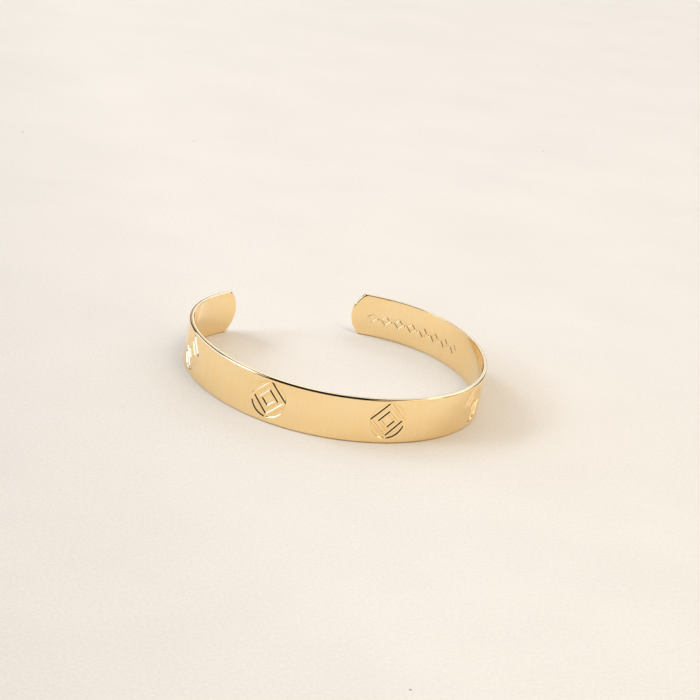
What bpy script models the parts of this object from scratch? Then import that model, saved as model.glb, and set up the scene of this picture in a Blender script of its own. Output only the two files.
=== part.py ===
"""Cuff bracelet: one flat band bent round an open oval, with a row of stamped medallions.

Metres, +Z up. The cuff lies on its lower edge, its front is at -Y and its opening at +Y.
The band is first made flat, in its own measures: s along the band from the middle of the front,
depth from the outer face inwards, and height. It is then cut into slices and bent.
"""

import math

import bmesh
import bpy
import numpy as np

MM = 0.001

# Flat band
BAND_WIDTH = 9.0 * MM
BAND_THICKNESS = 0.9 * MM
EDGE_CHAMFER = 0.12 * MM
TIP_BOW = 2.16 * MM  # how far each end bows out past its two corners
TIP_STEPS = 10

# Oval that the outer face follows, as if it were closed, and the opening left at the back
OVAL_WIDTH = 60.6 * MM
OVAL_DEPTH = 54.6 * MM
EGG_SHARE = 0.0213  # share of the radius that narrows the back
SQUARE_SHARE = -0.0096  # share of the radius that rounds out the shoulders
OPENING = 26.2 * MM  # between the two tips, on the inner face
OVAL_STEPS = 2000
SLICE_LENGTH = 2.4 * MM

# Row of medallions, sunk into the outer face
MEDALLION_BORDER = 0.94 * MM  # plain metal between a medallion and each long edge
MEDALLION_SPACING = 23.3 * MM
MEDALLION_DEPTH = 0.2 * MM
PLAIN_END = 27.0 * MM  # least plain metal between a medallion's centre and a tip
PATTERN_SHIFT = -1.65 * MM  # the stamped row sits a little to one side of the middle
PATTERN_RISE = 0.16 * MM  # and a little above it
CIRCLE_STEPS = 9  # in each of a medallion's four round segments

# Half sides of a medallion's nested squares, as shares of its radius
CENTRE_SQUARE = 0.26
INNER_FRAME = 0.38
GROOVE = 0.596
OUTER_FRAME = 0.737

CUT_CLEARANCE = 0.3 * MM  # how far a cutter stands out of the outer face
SAME_POINT = 1e-7
SHARP_ANGLE = math.radians(28.0)
GOLD_COLOUR = (0.87, 0.62, 0.27, 1.0)
GOLD_ROUGHNESS = 0.08


def clear_scene():
    """Remove every object that the file opened with."""
    for old in list(bpy.data.objects):
        bpy.data.objects.remove(old, do_unlink=True)


def oval_curve():
    """Follow half of the oval from the front to the back: length so far, points and inward normals."""
    turn = np.linspace(0.0, math.pi, OVAL_STEPS + 1)
    radius = 1.0 + EGG_SHARE * np.cos(3.0 * turn) + SQUARE_SHARE * np.cos(4.0 * turn)
    x = OVAL_WIDTH / 2.0 * np.sin(turn) * radius
    y = -OVAL_DEPTH / 2.0 * np.cos(turn) * radius
    along_x, along_y = np.gradient(x, turn), np.gradient(y, turn)
    speed = np.hypot(along_x, along_y)
    inward = np.stack([-along_y / speed, along_x / speed], axis=1)
    steps = np.hypot(np.diff(x), np.diff(y))
    length = np.concatenate([[0.0], np.cumsum(steps)])
    return length, np.stack([x, y], axis=1), inward


def half_band_length(length, points, inward):
    """Find how far from the front the inner face comes within half of the opening."""
    inner_x = points[:, 0] + inward[:, 0] * BAND_THICKNESS
    widest = int(np.argmax(inner_x))
    return float(np.interp(-OPENING / 2.0, -inner_x[widest:], length[widest:]))


def tip_arc(half_length, side):
    """Points of one bowed end as (s, height), from the lower corner to the upper corner."""
    half_width = BAND_WIDTH / 2.0
    half_angle = 2.0 * math.atan(TIP_BOW / half_width)
    radius = half_width / math.sin(half_angle)
    points = []
    for step in range(TIP_STEPS + 1):
        angle = half_angle * (2.0 * step / TIP_STEPS - 1.0)
        s = half_length - radius * (1.0 - math.cos(angle))
        points.append((side * s, half_width + radius * math.sin(angle)))
    return points


def extrude_outline(bm, faces, start, end):
    """Give flat faces that lie at depth start a thickness up to depth end."""
    grown = bmesh.ops.extrude_face_region(bm, geom=faces)["geom"]
    far_points = [item for item in grown if isinstance(item, bmesh.types.BMVert)]
    bmesh.ops.translate(bm, verts=far_points, vec=(0.0, end - start, 0.0))


def flat_band(half_length):
    """Make the flat band with bowed ends and chamfered edges."""
    bm = bmesh.new()
    outline = tip_arc(half_length, 1.0) + tip_arc(half_length, -1.0)[::-1]
    face = bm.faces.new([bm.verts.new((s, 0.0, height)) for s, height in outline])
    extrude_outline(bm, [face], 0.0, BAND_THICKNESS)
    bmesh.ops.recalc_face_normals(bm, faces=bm.faces)
    rim = [edge for edge in bm.edges if abs(edge.verts[0].co.y - edge.verts[1].co.y) < SAME_POINT]
    chamfer = min(EDGE_CHAMFER, 0.3 * BAND_THICKNESS)
    bmesh.ops.bevel(bm, geom=rim, offset=chamfer, segments=1, affect="EDGES", clamp_overlap=True)
    return mesh_object(bm, "flat_band")


def mesh_object(bm, name):
    """Store a bmesh as a new object in the scene."""
    mesh = bpy.data.meshes.new(name)
    bm.to_mesh(mesh)
    bm.free()
    obj = bpy.data.objects.new(name, mesh)
    bpy.context.scene.collection.objects.link(obj)
    return obj


def diamond(half_side):
    """Corners of a square that stands on its point."""
    reach = half_side * math.sqrt(2.0)
    return [(reach, 0.0), (0.0, reach), (-reach, 0.0), (0.0, -reach)]


def round_segment(radius, chord_distance, turn):
    """Outline of the piece of a disc beyond a chord, turned round the disc's centre."""
    half_angle = math.acos(chord_distance / radius)
    angles = [turn + half_angle * (2.0 * step / CIRCLE_STEPS - 1.0) for step in range(CIRCLE_STEPS + 1)]
    return [(radius * math.cos(angle), radius * math.sin(angle)) for angle in angles]


def medallion_centres(half_length):
    """Places of the medallions along the band: one at the middle and as many each side as fit."""
    room = half_length - PLAIN_END - abs(PATTERN_SHIFT)
    each_side = max(0, int(room / MEDALLION_SPACING))
    return [PATTERN_SHIFT + place * MEDALLION_SPACING for place in range(-each_side, each_side + 1)]


def medallion_cutter(half_length):
    """Make one cutter with all the pockets: centre squares, square grooves and round segments."""
    bm = bmesh.new()
    radius = BAND_WIDTH / 2.0 - MEDALLION_BORDER
    height = BAND_WIDTH / 2.0 + PATTERN_RISE

    def place(outline, centre):
        return [bm.verts.new((centre + s, -CUT_CLEARANCE, height + rise)) for s, rise in outline]

    faces = []
    for centre in medallion_centres(half_length):
        faces.append(bm.faces.new(place(diamond(CENTRE_SQUARE * radius), centre)))
        inner = place(diamond(INNER_FRAME * radius), centre)
        outer = place(diamond(GROOVE * radius), centre)
        for corner in range(4):
            after = (corner + 1) % 4
            faces.append(bm.faces.new([inner[corner], outer[corner], outer[after], inner[after]]))
        for quarter in range(4):
            turn = math.radians(45.0 + 90.0 * quarter)
            faces.append(bm.faces.new(place(round_segment(radius, OUTER_FRAME * radius, turn), centre)))
    extrude_outline(bm, faces, -CUT_CLEARANCE, MEDALLION_DEPTH)
    bmesh.ops.recalc_face_normals(bm, faces=bm.faces)
    cutter = mesh_object(bm, "medallion_cutter")
    cutter.hide_render = True
    cutter.display_type = "WIRE"
    return cutter


def cut_mesh(obj, cutter):
    """Return the object's mesh with the cutter taken out of it."""
    boolean = obj.modifiers.new("medallions", "BOOLEAN")
    boolean.operation = "DIFFERENCE"
    boolean.solver = "EXACT"
    boolean.object = cutter
    evaluated = obj.evaluated_get(bpy.context.evaluated_depsgraph_get())
    return bpy.data.meshes.new_from_object(evaluated)


def bend(bm, half_length, length, points, inward):
    """Slice the flat band at even stations and carry each slice to its place on the oval."""
    slices = math.ceil(2.0 * half_length / SLICE_LENGTH)
    stations = np.linspace(-half_length, half_length, slices + 1)
    for station in stations[1:-1]:
        everything = bm.verts[:] + bm.edges[:] + bm.faces[:]
        plane = (float(station), 0.0, 0.0)
        bmesh.ops.bisect_plane(bm, geom=everything, dist=SAME_POINT, plane_co=plane, plane_no=(1.0, 0.0, 0.0))
    bmesh.ops.triangulate(bm, faces=bm.faces)
    reach, side = np.abs(stations), np.where(stations < 0.0, -1.0, 1.0)
    outer = [side * np.interp(reach, length, points[:, 0]), np.interp(reach, length, points[:, 1])]
    normal = [side * np.interp(reach, length, inward[:, 0]), np.interp(reach, length, inward[:, 1])]
    for vert in bm.verts:
        s, depth = vert.co.x, vert.co.y
        for axis in range(2):
            start = np.interp(s, stations, outer[axis])
            vert.co[axis] = start + depth * np.interp(s, stations, normal[axis])


def gold_material():
    """Polished gold plating."""
    material = bpy.data.materials.new("gold_plated_brass")
    material.use_nodes = True
    shader = material.node_tree.nodes["Principled BSDF"]
    shader.inputs["Base Color"].default_value = GOLD_COLOUR
    shader.inputs["Metallic"].default_value = 1.0
    shader.inputs["Roughness"].default_value = GOLD_ROUGHNESS
    return material


def make_cuff():
    """Make the band flat, sink the medallions, bend it and centre it over the origin."""
    length, points, inward = oval_curve()
    half_length = half_band_length(length, points, inward)
    band = flat_band(half_length)
    cutter = medallion_cutter(half_length)
    mesh = cut_mesh(band, cutter)
    bpy.data.objects.remove(band, do_unlink=True)
    bpy.data.objects.remove(cutter, do_unlink=True)

    bm = bmesh.new()
    bm.from_mesh(mesh)
    bend(bm, half_length, length, points, inward)
    depths = [vert.co.y for vert in bm.verts]
    middle = (min(depths) + max(depths)) / 2.0
    bmesh.ops.translate(bm, verts=bm.verts, vec=(0.0, -middle, 0.0))
    cuff = mesh_object(bm, "cuff_band")
    cuff.data.shade_smooth()
    cuff.data.set_sharp_from_angle(angle=SHARP_ANGLE)
    cuff.data.materials.append(gold_material())


clear_scene()
make_cuff()
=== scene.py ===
# %% [markdown]
# A polished cuff bracelet, made in Blender around its own CAD model.
#
# The real cuff is one strip of gold-plated brass. It is cropped to length with curved ends, a
# row of medallions is stamped into it, a row of marks is punched into its back, and its edges
# are rounded off. Then it is bent round an oval former, polished and plated. This script
# follows the same order, because each step is easiest while the strip is still flat.

# %% Load the frame
import math

import bmesh
import bpy
import numpy as np
from mathutils import Matrix, Vector


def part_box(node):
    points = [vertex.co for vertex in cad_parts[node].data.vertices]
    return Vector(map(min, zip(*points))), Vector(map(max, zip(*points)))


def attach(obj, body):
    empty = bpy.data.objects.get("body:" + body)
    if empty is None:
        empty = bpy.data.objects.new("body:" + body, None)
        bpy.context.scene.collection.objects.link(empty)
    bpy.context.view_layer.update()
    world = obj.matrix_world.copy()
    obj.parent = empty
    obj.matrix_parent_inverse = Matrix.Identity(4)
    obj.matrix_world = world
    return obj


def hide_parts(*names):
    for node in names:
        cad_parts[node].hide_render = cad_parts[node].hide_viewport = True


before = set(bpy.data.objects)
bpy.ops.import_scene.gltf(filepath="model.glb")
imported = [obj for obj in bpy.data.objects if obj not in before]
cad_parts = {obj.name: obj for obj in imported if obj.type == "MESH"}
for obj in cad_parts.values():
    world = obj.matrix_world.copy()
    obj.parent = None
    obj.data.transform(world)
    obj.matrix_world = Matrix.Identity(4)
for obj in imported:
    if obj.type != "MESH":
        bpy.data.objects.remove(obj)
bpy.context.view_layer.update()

band_low, band_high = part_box("cuff_band")
MM = 0.001
BAND_WIDTH = band_high.z - band_low.z

# %% [markdown]
# The plan of the cuff is one closed oval with an opening at the back. It could be drawn as a
# Bezier curve with handles pulled by eye. A formula is easier to correct: an ellipse with two
# small waves on its radius, because the real former is a little straighter along its sides
# and tighter where the arms turn in at the back. The curve is walked in short steps, so that
# any length along the strip has its place on the oval and its direction inwards.

# %% The oval that the strip is bent round
OVAL_WIDTH = 60.6 * MM
OVAL_DEPTH = 54.6 * MM
EGG_SHARE = 0.0213
SQUARE_SHARE = -0.0096
OPENING = 26.2 * MM
THICKNESS = 0.9 * MM
OVAL_STEPS = 4000
SKIN_MARGIN = 0.03 * MM  # keeps the smooth curve inside the faceted CAD solid's box

turn = np.linspace(0.0, math.pi, OVAL_STEPS + 1)
radius_share = 1.0 + EGG_SHARE * np.cos(3.0 * turn) + SQUARE_SHARE * np.cos(4.0 * turn)
oval_x = OVAL_WIDTH / 2.0 * np.sin(turn) * radius_share
oval_y = -OVAL_DEPTH / 2.0 * np.cos(turn) * radius_share
slope_x, slope_y = np.gradient(oval_x, turn), np.gradient(oval_y, turn)
speed = np.hypot(slope_x, slope_y)
inward_x, inward_y = -slope_y / speed, slope_x / speed
oval_length = np.concatenate([[0.0], np.cumsum(np.hypot(np.diff(oval_x), np.diff(oval_y)))])

inner_x = oval_x + inward_x * THICKNESS
widest = int(np.argmax(inner_x))
HALF_LENGTH = float(np.interp(-OPENING / 2.0, -inner_x[widest:], oval_length[widest:]))
print("strip length in mm:", round(2.0 * HALF_LENGTH / MM, 2))

# %% [markdown]
# Every operator works on what is selected, and loading the frame leaves its nodes selected.
# So each step first puts the selection on one object only. A Boolean is applied at once,
# like a press tool that comes down, cuts and is put away.

# %% Small helpers for working on one object at a time
def only(obj):
    """Select one object and nothing else."""
    bpy.ops.object.select_all(action="DESELECT")
    obj.select_set(True)
    bpy.context.view_layer.objects.active = obj


def press(piece, tool, operation):
    """Apply one Boolean to the piece and put the tool away."""
    only(piece)
    modifier = piece.modifiers.new("press", "BOOLEAN")
    modifier.operation = operation
    modifier.solver = "EXACT"
    modifier.object = tool
    bpy.ops.object.modifier_apply(modifier=modifier.name)
    bpy.data.objects.remove(tool, do_unlink=True)


def report(piece, stage):
    """Print how many faces a piece has and how many edges are not shared by two of them."""
    shape = bmesh.new()
    shape.from_mesh(piece.data)
    open_edges = sum(not edge.is_manifold for edge in shape.edges)
    print(stage, "-", len(shape.faces), "faces,", open_edges, "open edges")
    shape.free()


# %% [markdown]
# The tools of the press are a block and a taper. A die has sloping walls, or it would stick
# in the metal. It could be a scaled cube with its sides moved in, but a cone already is what
# is needed: with four sides it is a tapered square, and with many a tapered disc.

# %% The tools of the press
PUNCH_RISE = 0.4 * MM  # how far a tool stands clear of the face that it is pressed into


def block(low, high, name):
    """Add a cube as a block between two corners, with its size in its mesh."""
    bpy.ops.object.select_all(action="DESELECT")
    middle = [(a + b) / 2.0 for a, b in zip(low, high)]
    size = [b - a for a, b in zip(low, high)]
    bpy.ops.mesh.primitive_cube_add(size=1.0, location=middle, scale=size)
    obj = bpy.context.object
    obj.name = name
    bpy.ops.object.transform_apply(location=True, rotation=True, scale=True)
    return obj


def taper(sides, radius, widening, depth, centre, name, spin=0.0, beyond=0.0, inside=False):
    """Add a tapered punch that stands in the outer or the inner face of the flat strip.

    It has its radius where it passes the face, and this changes by widening over the depth.
    """
    bpy.ops.object.select_all(action="DESELECT")
    rise, reach = PUNCH_RISE + beyond, depth + beyond
    slope = widening / depth
    into = -1.0 if inside else 1.0
    face = THICKNESS if inside else 0.0
    bpy.ops.mesh.primitive_cone_add(
        vertices=sides, radius1=radius - slope * rise, radius2=radius + slope * reach, depth=rise + reach,
        location=(centre[0], face + into * (reach - rise) / 2.0, centre[1]),
        rotation=(math.radians(-90.0 * into), spin, 0.0),
    )
    obj = bpy.context.object
    obj.name = name
    bpy.ops.object.transform_apply(location=True, rotation=True, scale=True)
    return obj


# %% [markdown]
# The blank: a flat bar as long as the strip. Its ends are cropped by a punch with a curved
# mouth, which is a block with a round hole in it. A fully round end would be easier, as one
# bevel, but cropping leaves the two visible corners where the bow of the end meets the
# straight edge, as on the real cuff.

# %% Crop the blank
TIP_BOW = 2.16 * MM
TIP_SIDES = 192
PUNCH_MARGIN = 1.0 * MM
PUNCH_REACH = 2.0 * MM
HOLE_DEPTH = 6.0 * MM
CORNER_MERGE = 0.01 * MM  # the bow and the straight edge meet in one corner, with no splinter between

strip = block((-HALF_LENGTH, 0.0, 0.0), (HALF_LENGTH, THICKNESS, BAND_WIDTH), "cuff")
tip_radius = ((BAND_WIDTH / 2.0) ** 2 + TIP_BOW**2) / (2.0 * TIP_BOW)
for side in (-1.0, 1.0):
    hole_centre = side * (HALF_LENGTH - tip_radius)
    left, right = sorted((hole_centre, side * (HALF_LENGTH + PUNCH_MARGIN)))
    punch_low = (left, -PUNCH_MARGIN, -PUNCH_MARGIN)
    punch = block(punch_low, (right, PUNCH_REACH, BAND_WIDTH + PUNCH_MARGIN), "crop_punch")
    bpy.ops.object.select_all(action="DESELECT")
    bpy.ops.mesh.primitive_cylinder_add(
        vertices=TIP_SIDES, radius=tip_radius, depth=HOLE_DEPTH,
        location=(hole_centre, 0.0, BAND_WIDTH / 2.0), rotation=(math.radians(90.0), 0.0, 0.0),
    )
    press(punch, bpy.context.object, "DIFFERENCE")
    press(strip, punch, "DIFFERENCE")
only(strip)
bpy.ops.object.mode_set(mode="EDIT")
bpy.ops.mesh.select_all(action="SELECT")
bpy.ops.mesh.remove_doubles(threshold=CORNER_MERGE)
bpy.ops.object.mode_set(mode="OBJECT")
report(strip, "cropped blank")

# %% [markdown]
# A medallion is a circle with nested squares that stand on their points. It could be a bump
# map, but the sloping walls are what the eye sees, as each one mirrors another part of the
# room, and a bump can't be seen from the side. So it is stamped: a pocket's outer wall
# narrows as it goes down, and an island's wall widens. An island's cone stands out beyond
# the cone it is cut from at both ends, and the disc is turned by half a side against the
# squares' corners, because a Boolean is only sure where faces cross and never where they
# nearly coincide.

# %% Stamp the medallions
MEDALLION_MARGIN = 0.94 * MM  # plain metal between the circle and the strip's edge
MEDALLION_RADIUS = BAND_WIDTH / 2.0 - MEDALLION_MARGIN
MEDALLION_SPACING = 23.3 * MM
MEDALLION_DEPTH = 0.2 * MM
WALL_RUN = 0.17 * MM  # how far a sloping wall runs sideways on its way down
TRUE_SIZE_AT = 0.25  # share of the way down at which a wall passes its true size
ISLAND_BEYOND = 0.1 * MM
PATTERN_SHIFT = -1.65 * MM
PATTERN_RISE = 0.16 * MM
MEDALLIONS_EACH_SIDE = 2
CIRCLE_SIDES = 96
CENTRE_SQUARE, INNER_FRAME, GROOVE, OUTER_FRAME = 0.26, 0.38, 0.596, 0.737  # shares of the radius


def square(share, widening, centre, name, beyond=0.0):
    """Add a tapered square punch that has its true size a little way down its wall."""
    reach = (share * MEDALLION_RADIUS - widening * TRUE_SIZE_AT) * math.sqrt(2.0)
    return taper(4, reach, widening * math.sqrt(2.0), MEDALLION_DEPTH, centre, name, beyond=beyond)


disc_radius = MEDALLION_RADIUS + WALL_RUN * TRUE_SIZE_AT
half_side = math.pi / CIRCLE_SIDES
for place in range(-MEDALLIONS_EACH_SIDE, MEDALLIONS_EACH_SIDE + 1):
    centre = (PATTERN_SHIFT + place * MEDALLION_SPACING, BAND_WIDTH / 2.0 + PATTERN_RISE)
    disc = taper(CIRCLE_SIDES, disc_radius, -WALL_RUN, MEDALLION_DEPTH, centre, "disc", spin=half_side)
    press(disc, square(OUTER_FRAME, WALL_RUN, centre, "outer_island", ISLAND_BEYOND), "DIFFERENCE")
    groove = square(GROOVE, -WALL_RUN, centre, "groove")
    press(groove, square(INNER_FRAME, WALL_RUN, centre, "inner_island", ISLAND_BEYOND), "DIFFERENCE")
    for die in (disc, groove, square(CENTRE_SQUARE, -WALL_RUN, centre, "centre")):
        press(strip, die, "DIFFERENCE")
report(strip, "stamped strip")

# %% [markdown]
# The inner face has a short row of punched marks near one end: small diamond outlines with
# a dot between each two. They are only half as deep as the medallions, but the eye catches
# their glints, so they are cut as well: each outline is again a tapered square with an island.

# %% Punch the row of marks inside one arm
MARK_COUNT = 8
MARK_PITCH = 3.0 * MM
MARK_REACH = 1.2 * MM
MARK_LINE = 0.45 * MM
MARK_DEPTH = 0.1 * MM
DOT_RADIUS = 0.3 * MM
DOT_SIDES = 24
ROW_MIDDLE = 62.0 * MM
ROW_HEIGHT = 4.3 * MM

corner_run = MARK_DEPTH * math.sqrt(2.0)
for place in range(2 * MARK_COUNT - 1):
    along = ROW_MIDDLE + (place - (MARK_COUNT - 1)) * MARK_PITCH / 2.0
    centre = (along, ROW_HEIGHT)
    if place % 2:
        mark = taper(DOT_SIDES, DOT_RADIUS, -MARK_DEPTH, MARK_DEPTH, centre, "dot", inside=True)
    else:
        mark = taper(4, MARK_REACH, -corner_run, MARK_DEPTH, centre, "diamond", inside=True)
        island = taper(
            4, MARK_REACH - MARK_LINE, corner_run, MARK_DEPTH, centre, "island",
            beyond=ISLAND_BEYOND, inside=True,
        )
        press(mark, island, "DIFFERENCE")
    press(strip, mark, "DIFFERENCE")
report(strip, "punched strip")

# %% [markdown]
# The outline edges are rounded by tumbling and polishing. On a mirror finish this rounding
# matters more than its size says: it sweeps its reflection from the floor up over the whole
# room, so it draws the bright and dark lines along the rim. The rims of the stamping are
# much sharper, as a die leaves them. A Bevel modifier picks edges by their angle and can't
# tell the two apart. So both are bevels in edit mode on chosen edges: an outline edge lies
# between a flat face and an upright side, a rim between a flat face and a slope.

# %% Round the outline edges and the rims
EDGE_ROUND = 0.4 * MM
EDGE_SEGMENTS = 8
RIM_ROUND = 0.018 * MM
RIM_SEGMENTS = 2
LEVEL = 0.99
UPRIGHT_RANGE = (0.0, 0.05)
SLOPE_RANGE = (0.6, 0.8)


def flatness(face):
    """Say how level a face of the flat strip lies: 1 for level, 0 for upright."""
    return abs(face.normal.y)


def bevel_between(piece, flatness_range, width, segments):
    """Bevel the edges between a level face and one with its flatness in a range."""
    only(piece)
    bpy.ops.object.mode_set(mode="EDIT")
    bpy.ops.mesh.select_mode(type="EDGE")
    bpy.ops.mesh.select_all(action="DESELECT")
    shape = bmesh.from_edit_mesh(piece.data)
    for edge in shape.edges:
        lower, upper = sorted(flatness(face) for face in edge.link_faces)
        edge.select = flatness_range[0] <= lower <= flatness_range[1] and upper > LEVEL
    shape.select_flush_mode()
    bmesh.update_edit_mesh(piece.data)
    bpy.ops.mesh.bevel(offset=width, segments=segments, affect="EDGES", clamp_overlap=False)
    bpy.ops.object.mode_set(mode="OBJECT")


bevel_between(strip, UPRIGHT_RANGE, EDGE_ROUND, EDGE_SEGMENTS)
report(strip, "rounded strip")
bevel_between(strip, SLOPE_RANGE, RIM_ROUND, RIM_SEGMENTS)
report(strip, "softened strip")

# %% [markdown]
# A strip can only bend where it has cross cuts. So it is bisected at even stations, close
# enough that no facet shows on the outline. Subdividing would do it too, but it would also
# cut the stamping's small faces again and again. The faces are made triangles while they are
# still flat.

# %% Slice the strip
SLICE_LENGTH = 0.6 * MM
SLICE_THRESHOLD = 1e-7
slices = math.ceil(2.0 * HALF_LENGTH / SLICE_LENGTH)
only(strip)
bpy.ops.object.mode_set(mode="EDIT")
for station in np.linspace(-HALF_LENGTH, HALF_LENGTH, slices + 1)[1:-1]:
    bpy.ops.mesh.select_all(action="SELECT")
    bpy.ops.mesh.bisect(
        plane_co=(float(station), 0.0, 0.0), plane_no=(1.0, 0.0, 0.0), threshold=SLICE_THRESHOLD,
    )
bpy.ops.mesh.select_all(action="SELECT")
bpy.ops.mesh.quads_convert_to_tris(quad_method="BEAUTY", ngon_method="BEAUTY")
bpy.ops.object.mode_set(mode="OBJECT")
report(strip, "sliced strip")

# %% [markdown]
# Shading is settled while the strip is flat. A mirror shows every error in its normals, and
# on the flat strip they are easy to get right: large faces win over small ones at each
# corner, so the plain metal stays exactly flat up to the rims.

# %% Settle the normals
SHARP_ANGLE = math.radians(40.0)
FACE_WEIGHT = 100
only(strip)
bpy.ops.object.shade_smooth_by_angle(angle=SHARP_ANGLE)
weighting = strip.modifiers.new("weighting", "WEIGHTED_NORMAL")
weighting.keep_sharp = True
weighting.weight = FACE_WEIGHT
bpy.ops.object.modifier_apply(modifier=weighting.name)

mesh = strip.data
flat_normals = np.zeros(len(mesh.loops) * 3)
mesh.corner_normals.foreach_get("vector", flat_normals)
flat_normals = flat_normals.reshape(-1, 3)
print("normals settled on", len(flat_normals), "corners")

# %% [markdown]
# The polisher works across the strip first and then along it, so the marks of the wheel
# follow the bend. Blender's object coordinates know nothing of that. So the flat strip's own
# measures are kept as a UV map in millimetres before it is bent, and every pattern of the
# finish is laid out on it.

# %% Keep the flat strip's measures
flat_places = np.zeros(len(mesh.vertices) * 3)
mesh.vertices.foreach_get("co", flat_places)
flat_places = flat_places.reshape(-1, 3)
flat_places[:, 1] = np.clip(flat_places[:, 1], 0.0, THICKNESS)  # bevels can stand out by some micrometres
flat_places[:, 2] = np.clip(flat_places[:, 2], 0.0, BAND_WIDTH)
corner_vertices = np.zeros(len(mesh.loops), dtype=np.int64)
mesh.loops.foreach_get("vertex_index", corner_vertices)
strip_map = mesh.uv_layers.new(name="strip_mm")
strip_map.data.foreach_set("uv", (flat_places[corner_vertices][:, (0, 2)] / MM).ravel())
print("flat strip in mm:", [round(float(size), 2) for size in np.ptp(flat_places, axis=0) / MM])

# %% [markdown]
# The bend. Blender's own bend makes an arc of one radius, and this oval changes its radius
# all the way round, so each vertex is carried by rule: its length along the strip says where
# it is on the oval and which way is inwards. The corner normals are turned by the same
# angle, so the bent face mirrors like one smooth sheet.

# %% Bend the strip round the oval
along = flat_places[:, 0]
reach, side = np.abs(along), np.where(along < 0.0, -1.0, 1.0)
depth = flat_places[:, 1] * (THICKNESS - SKIN_MARGIN) / THICKNESS + SKIN_MARGIN
in_x = side * np.interp(reach, oval_length, inward_x)
in_y = np.interp(reach, oval_length, inward_y)
bent_x = side * np.interp(reach, oval_length, oval_x) + depth * in_x
bent_y = np.interp(reach, oval_length, oval_y) + depth * in_y
plan_shift = (band_low.y + band_high.y) / 2.0 - (bent_y.min() + bent_y.max()) / 2.0
bent_places = np.stack([bent_x, bent_y + plan_shift, flat_places[:, 2]], axis=1)
mesh.vertices.foreach_set("co", bent_places.ravel())

corner_in_x, corner_in_y = in_x[corner_vertices], in_y[corner_vertices]
bent_normals = np.stack([
    flat_normals[:, 0] * corner_in_y + flat_normals[:, 1] * corner_in_x,
    -flat_normals[:, 0] * corner_in_x + flat_normals[:, 1] * corner_in_y,
    flat_normals[:, 2],
], axis=1)
mesh.update()
mesh.normals_split_custom_set(bent_normals)
print("bent cuff in mm:", [round(float(size), 2) for size in np.ptp(bent_places, axis=0) / MM])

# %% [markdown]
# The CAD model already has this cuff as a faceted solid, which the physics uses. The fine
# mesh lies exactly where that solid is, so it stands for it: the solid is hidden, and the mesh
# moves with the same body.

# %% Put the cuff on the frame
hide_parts("cuff_band")
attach(strip, "root")

# %% [markdown]
# Colours are written as the hex codes that an artist would pick on screen. Blender's
# shaders work in linear light, so one function turns them over. A second one adds a node,
# and a third lays out a grain with a real length and width, which both materials need. A
# photograph of scratched metal would also do, but a noise never repeats, has no seam and can
# be corrected by one number.

# %% Material helpers
def linear(hex_code):
    """Turn an sRGB hex colour into Blender's linear colour."""
    parts = [int(hex_code[at:at + 2], 16) / 255.0 for at in (1, 3, 5)]
    return tuple(p / 12.92 if p <= 0.04045 else ((p + 0.055) / 1.055) ** 2.4 for p in parts) + (1.0,)


def add_node(tree, kind, settings=None, values=None, links=None):
    """Add a shader node, set its properties and socket values, and link its inputs."""
    node = tree.nodes.new(kind)
    for name, value in (settings or {}).items():
        setattr(node, name, value)
    for name, value in (values or {}).items():
        node.inputs[name].default_value = value
    for name, source in (links or {}).items():
        tree.links.new(source, node.inputs[name])
    return node


def grain(tree, place, length, width, detail=2.0, lean=0.0, between=None, becomes=(0.0, 1.0)):
    """Lay out a noise whose grain has a length and a width, in the unit of its place.

    What lies between two limits of its strength may be carried to two other values.
    """
    placed = add_node(
        tree, "ShaderNodeMapping", {"vector_type": "TEXTURE"},
        {"Scale": (length, width, length), "Rotation": (0.0, 0.0, math.radians(lean))},
        {"Vector": place},
    ).outputs["Vector"]
    strength = add_node(
        tree, "ShaderNodeTexNoise", {}, {"Scale": 1.0, "Detail": detail}, {"Vector": placed},
    ).outputs["Fac"]
    if between is None:
        return strength
    return add_node(
        tree, "ShaderNodeMapRange", {},
        {"From Min": between[0], "From Max": between[1], "To Min": becomes[0], "To Max": becomes[1]},
        {"Value": strength},
    ).outputs["Result"]


# %% [markdown]
# Gold plating is a thin bright layer over polished brass, so it is a pure mirror with a warm
# tint: metallic 1, and a roughness near 0. Nothing on it is painted. The layer isn't equally
# thick everywhere, so its tint is a little deeper in soft patches and in fine streaks across
# the strip, which follow the first polish.

# %% Polished gold plating: the tint
GOLD_TINT = "#FFE6B5"
GOLD_DEEP = "#FFE0A7"
PATCH_LENGTH, PATCH_WIDTH, PATCH_SHARE = 9.0, 5.0, 0.45  # lengths on the strip are in mm
STREAK_LENGTH, STREAK_WIDTH, STREAK_SHARE = 0.45, 7.0, 0.55
MIDDLE_THIRD = (0.35, 0.65)
MIX_FACTOR, MIX_FIRST, MIX_SECOND, MIX_RESULT = 0, 6, 7, 2  # a Mix node's colour sockets go by number

gold = bpy.data.materials.new("polished_gold_plating")
gold.use_nodes = True
tree = gold.node_tree
shader = tree.nodes["Principled BSDF"]
strip_place = add_node(tree, "ShaderNodeUVMap", {"uv_map": "strip_mm"}).outputs["UV"]
patches = grain(
    tree, strip_place, PATCH_LENGTH, PATCH_WIDTH, between=MIDDLE_THIRD, becomes=(0.0, PATCH_SHARE),
)
streaks = grain(
    tree, strip_place, STREAK_LENGTH, STREAK_WIDTH, between=MIDDLE_THIRD, becomes=(0.0, STREAK_SHARE),
)
layer = add_node(
    tree, "ShaderNodeMath", {"operation": "ADD"}, links={0: patches, 1: streaks},
).outputs["Value"]
tint = add_node(
    tree, "ShaderNodeMix", {"data_type": "RGBA"},
    {MIX_FIRST: linear(GOLD_TINT), MIX_SECOND: linear(GOLD_DEEP)}, {MIX_FACTOR: layer},
).outputs[MIX_RESULT]
shader.inputs["Metallic"].default_value = 1.0
tree.links.new(tint, shader.inputs["Base Color"])
strip.data.materials.clear()
strip.data.materials.append(gold)
print("the layer's tint goes from", GOLD_TINT, "to", GOLD_DEEP)

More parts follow.
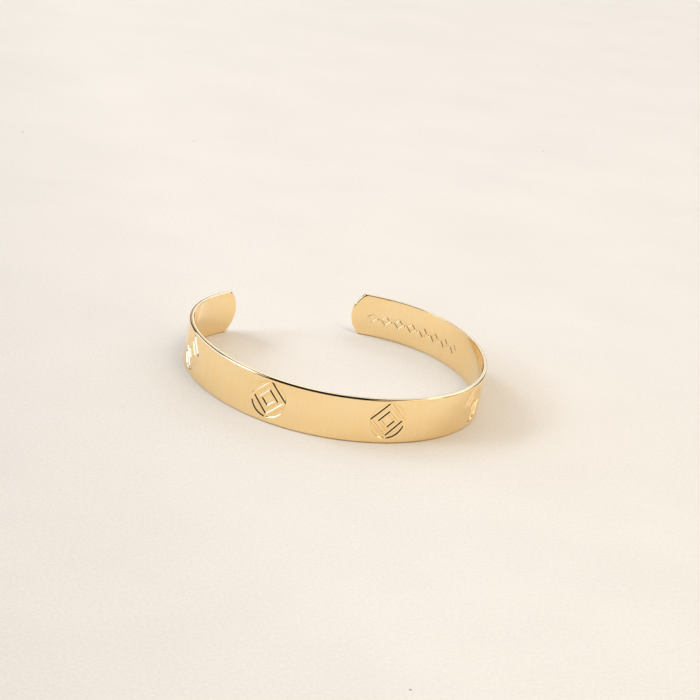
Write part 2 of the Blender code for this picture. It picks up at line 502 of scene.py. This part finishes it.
# %% [markdown]
# What tells worn gold from a computer's perfect mirror is very small. The last polish leaves
# hairlines along the strip, and keys and tables leave a few short scratches across them, in
# two leans. They are far too fine to be cut, so they are lines of higher roughness, drawn a
# little coarser than the real ones so that they show at all.

# %% Polished gold plating: hairlines and scratches
HAIRLINE_LENGTH, HAIRLINE_WIDTH = 16.0, 0.05
HAIRLINE_LIMITS = (0.40, 0.75)
ROUGHNESS_RANGE = (0.02, 0.05)
SCRATCH_FADE = 0.06
SCRATCHES = (  # length and width in mm, lean in degrees, strength from which it shows, roughness
    (3.5, 0.06, 24.0, 0.74, 0.16),
    (5.0, 0.07, -52.0, 0.75, 0.12),
)

roughness = grain(
    tree, strip_place, HAIRLINE_LENGTH, HAIRLINE_WIDTH, between=HAIRLINE_LIMITS, becomes=ROUGHNESS_RANGE,
)
for length, width, lean, shows_from, added in SCRATCHES:
    scratch = grain(
        tree, strip_place, length, width, detail=1.0, lean=lean,
        between=(shows_from, shows_from + SCRATCH_FADE), becomes=(0.0, added),
    )
    roughness = add_node(
        tree, "ShaderNodeMath", {"operation": "ADD"}, links={0: roughness, 1: scratch},
    ).outputs["Value"]
tree.links.new(roughness, shader.inputs["Roughness"])
print("hairlines and", len(SCRATCHES), "sets of scratches")

# %% [markdown]
# The last traces are in the height of the layer: shallow waves across the strip from the
# first polish, a faint peel from the plating bath, and here and there a pit. A pit is a spot
# at a random place, near one of the scattered points of a Voronoi pattern. The waves are
# less than a micrometre high, which a mirror still shows and a mesh can't hold, so all three
# are bump.

# %% Polished gold plating: waves, peel and pits
WAVE_LENGTH, WAVE_WIDTH, WAVE_HEIGHT = 1.1, 14.0, 0.0005 * MM
PEEL_SIZE, PEEL_HEIGHT = 0.8, 0.0002 * MM
PIT_SPACING, PIT_RADIUS, PIT_DEPTH = 3.57, 0.107, 0.008 * MM


def spots(tree, place, spacing, core, rim, strength):
    """Lay out spots at random places, full out to the core's radius and gone at the rim's."""
    distance = add_node(
        tree, "ShaderNodeTexVoronoi", {}, {"Scale": 1.0 / spacing}, {"Vector": place},
    ).outputs["Distance"]
    return add_node(
        tree, "ShaderNodeMapRange", {},
        {"From Min": core / spacing, "From Max": rim / spacing, "To Min": strength, "To Max": 0.0},
        {"Value": distance},
    ).outputs["Result"]


wave_grain = grain(tree, strip_place, WAVE_LENGTH, WAVE_WIDTH, detail=1.0)
waves = add_node(
    tree, "ShaderNodeBump", {}, {"Distance": WAVE_HEIGHT}, {"Height": wave_grain},
).outputs["Normal"]
peel_grain = grain(tree, strip_place, PEEL_SIZE, PEEL_SIZE, detail=1.0)
peel = add_node(
    tree, "ShaderNodeBump", {}, {"Distance": PEEL_HEIGHT}, {"Height": peel_grain, "Normal": waves},
).outputs["Normal"]
pit_spots = spots(tree, strip_place, PIT_SPACING, 0.0, PIT_RADIUS, 1.0)
pits = add_node(
    tree, "ShaderNodeBump", {"invert": True}, {"Distance": PIT_DEPTH},
    {"Height": pit_spots, "Normal": peel},
).outputs["Normal"]
tree.links.new(pits, shader.inputs["Normal"])
print(len(tree.nodes), "nodes in the gold")

# %% [markdown]
# The floor is a slab of plaster. A flat disc is enough, so large that its edge is never in
# view. It belongs to the studio and not to the cuff.

# %% Floor: the slab
FLOOR_RADIUS = 3.0
FLOOR_SIDES = 128

bpy.ops.object.select_all(action="DESELECT")
bpy.ops.mesh.primitive_circle_add(
    vertices=FLOOR_SIDES, radius=FLOOR_RADIUS, fill_type="NGON", location=(0.0, 0.0, 0.0),
)
floor = bpy.context.object
floor.name = "floor"
print("floor across in m:", round(floor.dimensions.x, 1))

# %% [markdown]
# Cream plaster, trowelled nearly smooth, is never one even colour. It has a fine sandy
# grain and soft cloudy patches. On top of that, painted shade makes the floor slowly darker
# towards the left and lighter towards the right. This drift could be painted as an image, but the
# distance along a direction, which a dot product gives, keeps it in real millimetres.

# %% Floor: the plaster's colour and painted shade
PLASTER_DARK = "#DDD3C3"
PLASTER_LIGHT = "#F2E7D6"
# Painted shade: the floor is darker towards the left, and this fades out between start and end along the
# direction.
SHADE_DRIFT_DIRECTION = (0.99, -0.14, 0.0)
SHADE_DRIFT_START, SHADE_DRIFT_END, SHADE_DRIFT_SHARE = -95.0 * MM, -15.0 * MM, 0.75
CLOUD_LENGTH, CLOUD_WIDTH, CLOUD_SHARE = 32.0 * MM, 24.0 * MM, 0.18
GRAIN_SIZE, GRAIN_SHARE = 0.6 * MM, 0.18
WIDE_MIDDLE = (0.3, 0.7)

plaster = bpy.data.materials.new("trowelled_cream_plaster")
plaster.use_nodes = True
tree = plaster.node_tree
shader = tree.nodes["Principled BSDF"]
floor_place = add_node(tree, "ShaderNodeTexCoord").outputs["Object"]
# The painted shade: the distance along the drift direction becomes a share of the light colour, lower on
# the left.
sideways = add_node(
    tree, "ShaderNodeVectorMath", {"operation": "DOT_PRODUCT"}, {1: SHADE_DRIFT_DIRECTION}, {0: floor_place},
).outputs["Value"]
shade_and_tone = add_node(
    tree, "ShaderNodeMapRange", {},
    {"From Min": SHADE_DRIFT_START, "From Max": SHADE_DRIFT_END, "To Max": SHADE_DRIFT_SHARE}, {"Value": sideways},
).outputs["Result"]
clouds = grain(
    tree, floor_place, CLOUD_LENGTH, CLOUD_WIDTH, detail=3.0,
    between=WIDE_MIDDLE, becomes=(0.0, CLOUD_SHARE),
)
sandy = grain(
    tree, floor_place, GRAIN_SIZE, GRAIN_SIZE, detail=3.0,
    between=WIDE_MIDDLE, becomes=(-GRAIN_SHARE, GRAIN_SHARE),
)
for pattern in (clouds, sandy):
    shade_and_tone = add_node(
        tree, "ShaderNodeMath", {"operation": "ADD"}, links={0: shade_and_tone, 1: pattern},
    ).outputs["Value"]
plain = add_node(
    tree, "ShaderNodeMix", {"data_type": "RGBA"},
    {MIX_FIRST: linear(PLASTER_DARK), MIX_SECOND: linear(PLASTER_LIGHT)}, {MIX_FACTOR: shade_and_tone},
).outputs[MIX_RESULT]
print("the plaster's tone goes from", PLASTER_DARK, "to", PLASTER_LIGHT)

# %% [markdown]
# Plaster is never quite clean: a few dark grains of sand lie in it, far apart, and its skin
# is rough under the finger. The grains are spots of colour, and the roughness is bump.

# %% Floor: dark grains and a rough skin
SPECK_COLOUR = "#6E6658"
SPECK_SPACING, SPECK_CORE, SPECK_RIM, SPECK_SHARE = 16.0 * MM, 0.192 * MM, 0.32 * MM, 0.7
SAND_SIZE, SAND_HEIGHT = 0.5 * MM, 0.02 * MM
PLASTER_ROUGHNESS = 0.9

specks = spots(tree, floor_place, SPECK_SPACING, SPECK_CORE, SPECK_RIM, SPECK_SHARE)
colour = add_node(
    tree, "ShaderNodeMix", {"data_type": "RGBA"},
    {MIX_SECOND: linear(SPECK_COLOUR)}, {MIX_FACTOR: specks, MIX_FIRST: plain},
).outputs[MIX_RESULT]
sand_grain = grain(tree, floor_place, SAND_SIZE, SAND_SIZE)
skin = add_node(
    tree, "ShaderNodeBump", {}, {"Distance": SAND_HEIGHT}, {"Height": sand_grain},
).outputs["Normal"]
tree.links.new(colour, shader.inputs["Base Color"])
tree.links.new(skin, shader.inputs["Normal"])
shader.inputs["Roughness"].default_value = PLASTER_ROUGHNESS
floor.data.materials.append(plaster)
print(len(tree.nodes), "nodes in the plaster")

# %% [markdown]
# The camera looks down on the cuff from its front left, held a little askew. It could be
# turned by hand until the picture fits. Here its place, its direction and its roll are
# written as what a photographer would measure: millimetres from the cuff, and degrees.

# %% Camera
LENS = 102.8  # in mm, as the sensor's width
SENSOR_WIDTH = 36.0
NEAREST = 10.0 * MM
CAMERA_PLACE = Vector((-169.1, -322.6, 153.8)) * MM
CAMERA_TURN = math.radians(-27.82)
CAMERA_DROP = math.radians(21.87)
CAMERA_ROLL = math.radians(11.65)
view = Vector((
    -math.sin(CAMERA_TURN) * math.cos(CAMERA_DROP),
    math.cos(CAMERA_TURN) * math.cos(CAMERA_DROP),
    -math.sin(CAMERA_DROP),
))
camera_data = bpy.data.cameras.new("camera")
camera_data.lens = LENS
camera_data.sensor_width = SENSOR_WIDTH
camera_data.clip_start = NEAREST
camera = bpy.data.objects.new("camera", camera_data)
bpy.context.scene.collection.objects.link(camera)
aim = view.to_track_quat("-Z", "Y").to_matrix().to_4x4()
camera.matrix_world = Matrix.Translation(CAMERA_PLACE) @ aim @ Matrix.Rotation(CAMERA_ROLL, 4, "Z")
bpy.context.scene.camera = camera
print("camera to cuff in mm:", round(CAMERA_PLACE.length / MM))

# %% [markdown]
# Polished gold has next to no look of its own: it shows the room. A point lamp or a sun
# would be a dot in it, so every light is an even panel, which the metal shows as a window or
# a wall. A panel is written as it could be measured from the cuff: where it stands, how wide
# and high it looks, and how bright it is.

# %% A light panel
PANEL_DISTANCE = 2.0


def panel(name, azimuth, elevation, wide, high, radiance, colour, mirrored=True):
    """Hang an even light panel that faces the cuff. Angles are in degrees as seen from the cuff.

    Azimuth 0 is the front and 90 the right. Radiance 1 looks like white paper in full light.
    A panel that is not mirrored lights the floor only, like a lamp behind a black flag.
    """
    data = bpy.data.lights.new(name, "AREA")
    data.shape = "RECTANGLE"
    data.size = 2.0 * PANEL_DISTANCE * math.tan(math.radians(wide) / 2.0)
    data.size_y = 2.0 * PANEL_DISTANCE * math.tan(math.radians(high) / 2.0)
    data.energy = radiance * math.pi * data.size * data.size_y
    data.color = linear(colour)[:3]
    lamp = bpy.data.objects.new(name, data)
    bpy.context.scene.collection.objects.link(lamp)
    turned, raised = math.radians(azimuth), math.radians(elevation)
    out = Vector((
        math.sin(turned) * math.cos(raised), -math.cos(turned) * math.cos(raised), math.sin(raised),
    ))
    lamp.location = out * PANEL_DISTANCE
    lamp.rotation_euler = (-out).to_track_quat("-Z", "Y").to_euler()
    lamp.visible_camera = False
    lamp.visible_glossy = mirrored


# %% [markdown]
# The panels are right as a picture of a room first, and as lamps second. A wide cool window
# and a skylight stand at the left and behind, for the white line on the left of the rim and
# the white walls of the stamping. Pale walls stand behind and at the right, with a second
# window between them. Nothing stands at the front, so the world behind the camera is nearly
# black and draws the thin black line on the rim.
#
# That room alone would leave the floor too dark and its shadows too soft. Four lamps mend
# this where a photographer would use black flags, so that the metal doesn't mirror them: two
# small keys for the shadow with a clear edge at the right, and two soft fills from above.

# %% Hang the panels
# name, azimuth, elevation, width and height in degrees, radiance, colour
panel("key_left", -92.0, 25.0, 11.0, 9.0, 28.0, "#CBE3FF", mirrored=False)
panel("key_back", -132.0, 37.0, 12.0, 12.0, 14.0, "#CBE3FF", mirrored=False)
panel("overhead", -28.0, 76.0, 70.0, 28.0, 2.15, "#FFF9EE", mirrored=False)
panel("high_front", 45.0, 74.0, 36.0, 14.0, 3.2, "#FFEDD4", mirrored=False)
panel("window", -118.0, 17.0, 68.0, 26.0, 2.5, "#BCD0FF")
panel("skylight", -108.0, 43.0, 24.0, 30.0, 3.3, "#E6EEFF")
panel("back_wall", 170.0, 30.0, 30.0, 40.0, 0.5, "#FFF8EE")
panel("right_wall_back", 140.0, 32.0, 36.0, 52.0, 1.2, "#DCE8FF")
panel("right_window", 102.0, 36.0, 34.0, 32.0, 1.5, "#D2E0FF")
panel("right_wall_side", 78.0, 30.0, 44.0, 56.0, 0.5, "#FFF2DC")
panel("right_wall_front", 43.0, 28.0, 40.0, 52.0, 0.95, "#FFF2DC")
print(len(bpy.data.lights), "light panels")

# %% [markdown]
# The rest of the room is a dim warm grey, just bright enough that no reflection is a hole.
# The Standard view shows colours as they are, where the default one would grey the highlights.

# %% The dim room and the view
ROOM_COLOUR = "#FFF4E4"
ROOM_STRENGTH = 0.015
world = bpy.data.worlds.new("studio")
world.use_nodes = True
background = world.node_tree.nodes["Background"]
background.inputs["Color"].default_value = linear(ROOM_COLOUR)
background.inputs["Strength"].default_value = ROOM_STRENGTH
bpy.context.scene.world = world
bpy.context.scene.view_settings.view_transform = "Standard"
print("room strength:", ROOM_STRENGTH)
